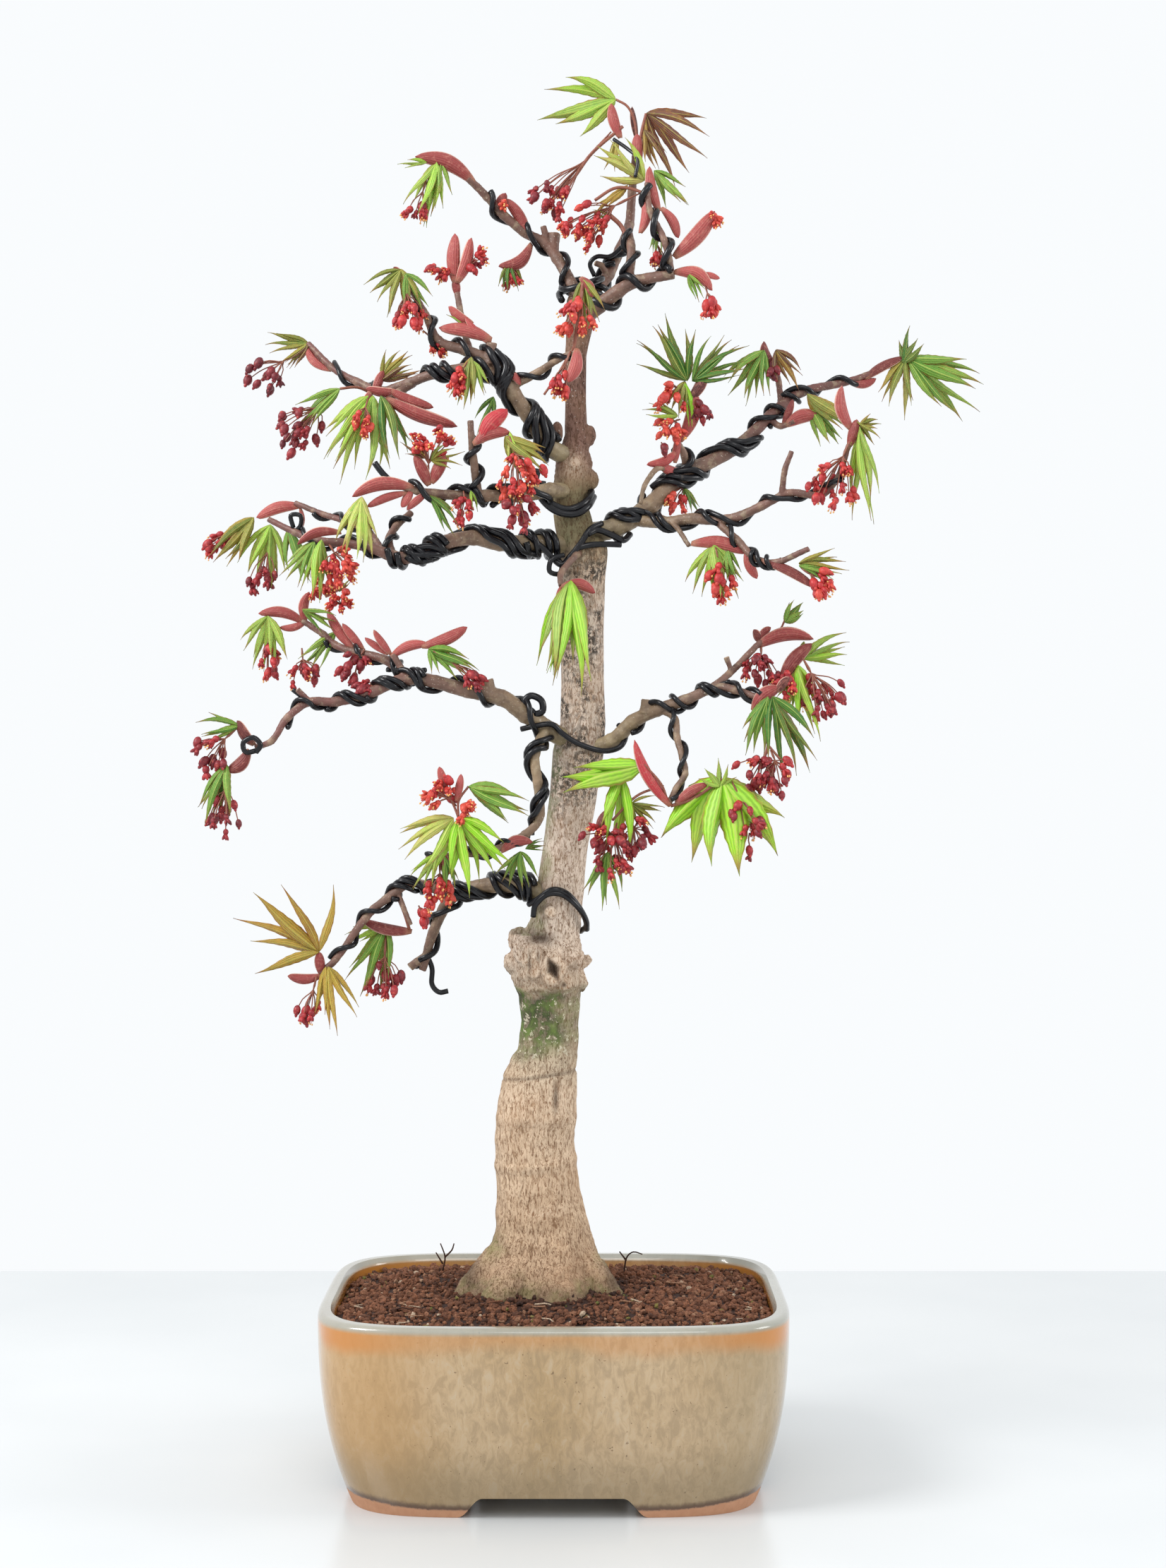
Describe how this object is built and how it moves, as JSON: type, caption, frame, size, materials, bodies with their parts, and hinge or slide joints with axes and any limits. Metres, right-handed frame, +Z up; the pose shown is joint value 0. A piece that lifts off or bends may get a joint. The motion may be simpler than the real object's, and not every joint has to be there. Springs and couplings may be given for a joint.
{
  "type": "potted bonsai tree",
  "caption": "Young wired bonsai tree with new palmate leaves, red bud scales and flowers, in a glazed rounded-rectangle pot on corner feet.",
  "frame": {"origin": "middle of the whole object's footprint, on the surface that the pot's feet stand on", "axes": "+Z up along the trunk, +X to the viewer's right along the pot's long side, -Y toward the front of the tree"},
  "size_m": [0.3308, 0.1538, 0.5909],
  "materials": {
    "glaze": "speckled tan gloss glaze, bare clay under the feet",
    "screen_plastic": "matte black",
    "soil": "damp red-brown granules",
    "trunk_bark": "rough tan bark with green moss",
    "limb_bark": "smooth purple-brown to olive young bark",
    "wire_metal": "black anodised",
    "new_leaf": "satin green leaf, red scales and flowers"
  },
  "bodies": {
    "root": {"drain_screen_left": "screen_plastic", "drain_screen_right": "screen_plastic", "limb_crown_left": "limb_bark", "limb_crown_middle": "limb_bark", "limb_crown_right": "limb_bark", "limb_left_bottom": "limb_bark", "limb_left_front": "limb_bark", "limb_left_high": "limb_bark", "limb_left_low": "limb_bark", "limb_left_mid": "limb_bark", "limb_right_high": "limb_bark", "limb_right_low": "limb_bark", "pot": "glaze", "shoot_crown_left_tip": "new_leaf", "shoot_crown_pale": "new_leaf", "shoot_crown_right_tip": "new_leaf", "shoot_crown_top_left": "new_leaf", "shoot_crown_top_right": "new_leaf", "shoot_left_bottom_down": "new_leaf", "shoot_left_bottom_up": "new_leaf", "shoot_left_front_tip": "new_leaf", "shoot_left_front_twig": "new_leaf", "shoot_left_hanging_palm": "new_leaf", "shoot_left_high_drop": "new_leaf", "shoot_left_high_far": "new_leaf", "shoot_left_high_tip": "new_leaf", "shoot_left_high_umbrella": "new_leaf", "shoot_left_high_up": "new_leaf", "shoot_left_low_inner": "new_leaf", "shoot_left_low_tip": "new_leaf", "shoot_left_low_upper": "new_leaf", "shoot_left_mid_far": "new_leaf", "shoot_left_mid_under": "new_leaf", "shoot_right_hanging_bright": "new_leaf", "shoot_right_hanging_fan": "new_leaf", "shoot_right_hanging_flowers": "new_leaf", "shoot_right_high_inner": "new_leaf", "shoot_right_high_tip": "new_leaf", "shoot_right_high_twig": "new_leaf", "shoot_right_high_upright": "new_leaf", "shoot_right_low_drop": "new_leaf", "shoot_right_low_tip": "new_leaf", "shoot_right_low_upper": "new_leaf", "shoot_right_mid_far": "new_leaf", "shoot_right_mid_inner": "new_leaf", "shoot_right_mid_tip": "new_leaf", "shoot_trunk_front": "new_leaf", "soil": "soil", "trunk": "trunk_bark", "twig_front": "limb_bark", "wire_crown": "wire_metal", "wire_left_bottom": "wire_metal", "wire_left_hanging": "wire_metal", "wire_left_high": "wire_metal", "wire_left_low": "wire_metal", "wire_left_mid": "wire_metal", "wire_right_high": "wire_metal", "wire_right_low": "wire_metal", "wire_right_mid": "wire_metal"}
  },
  "joints": []
}
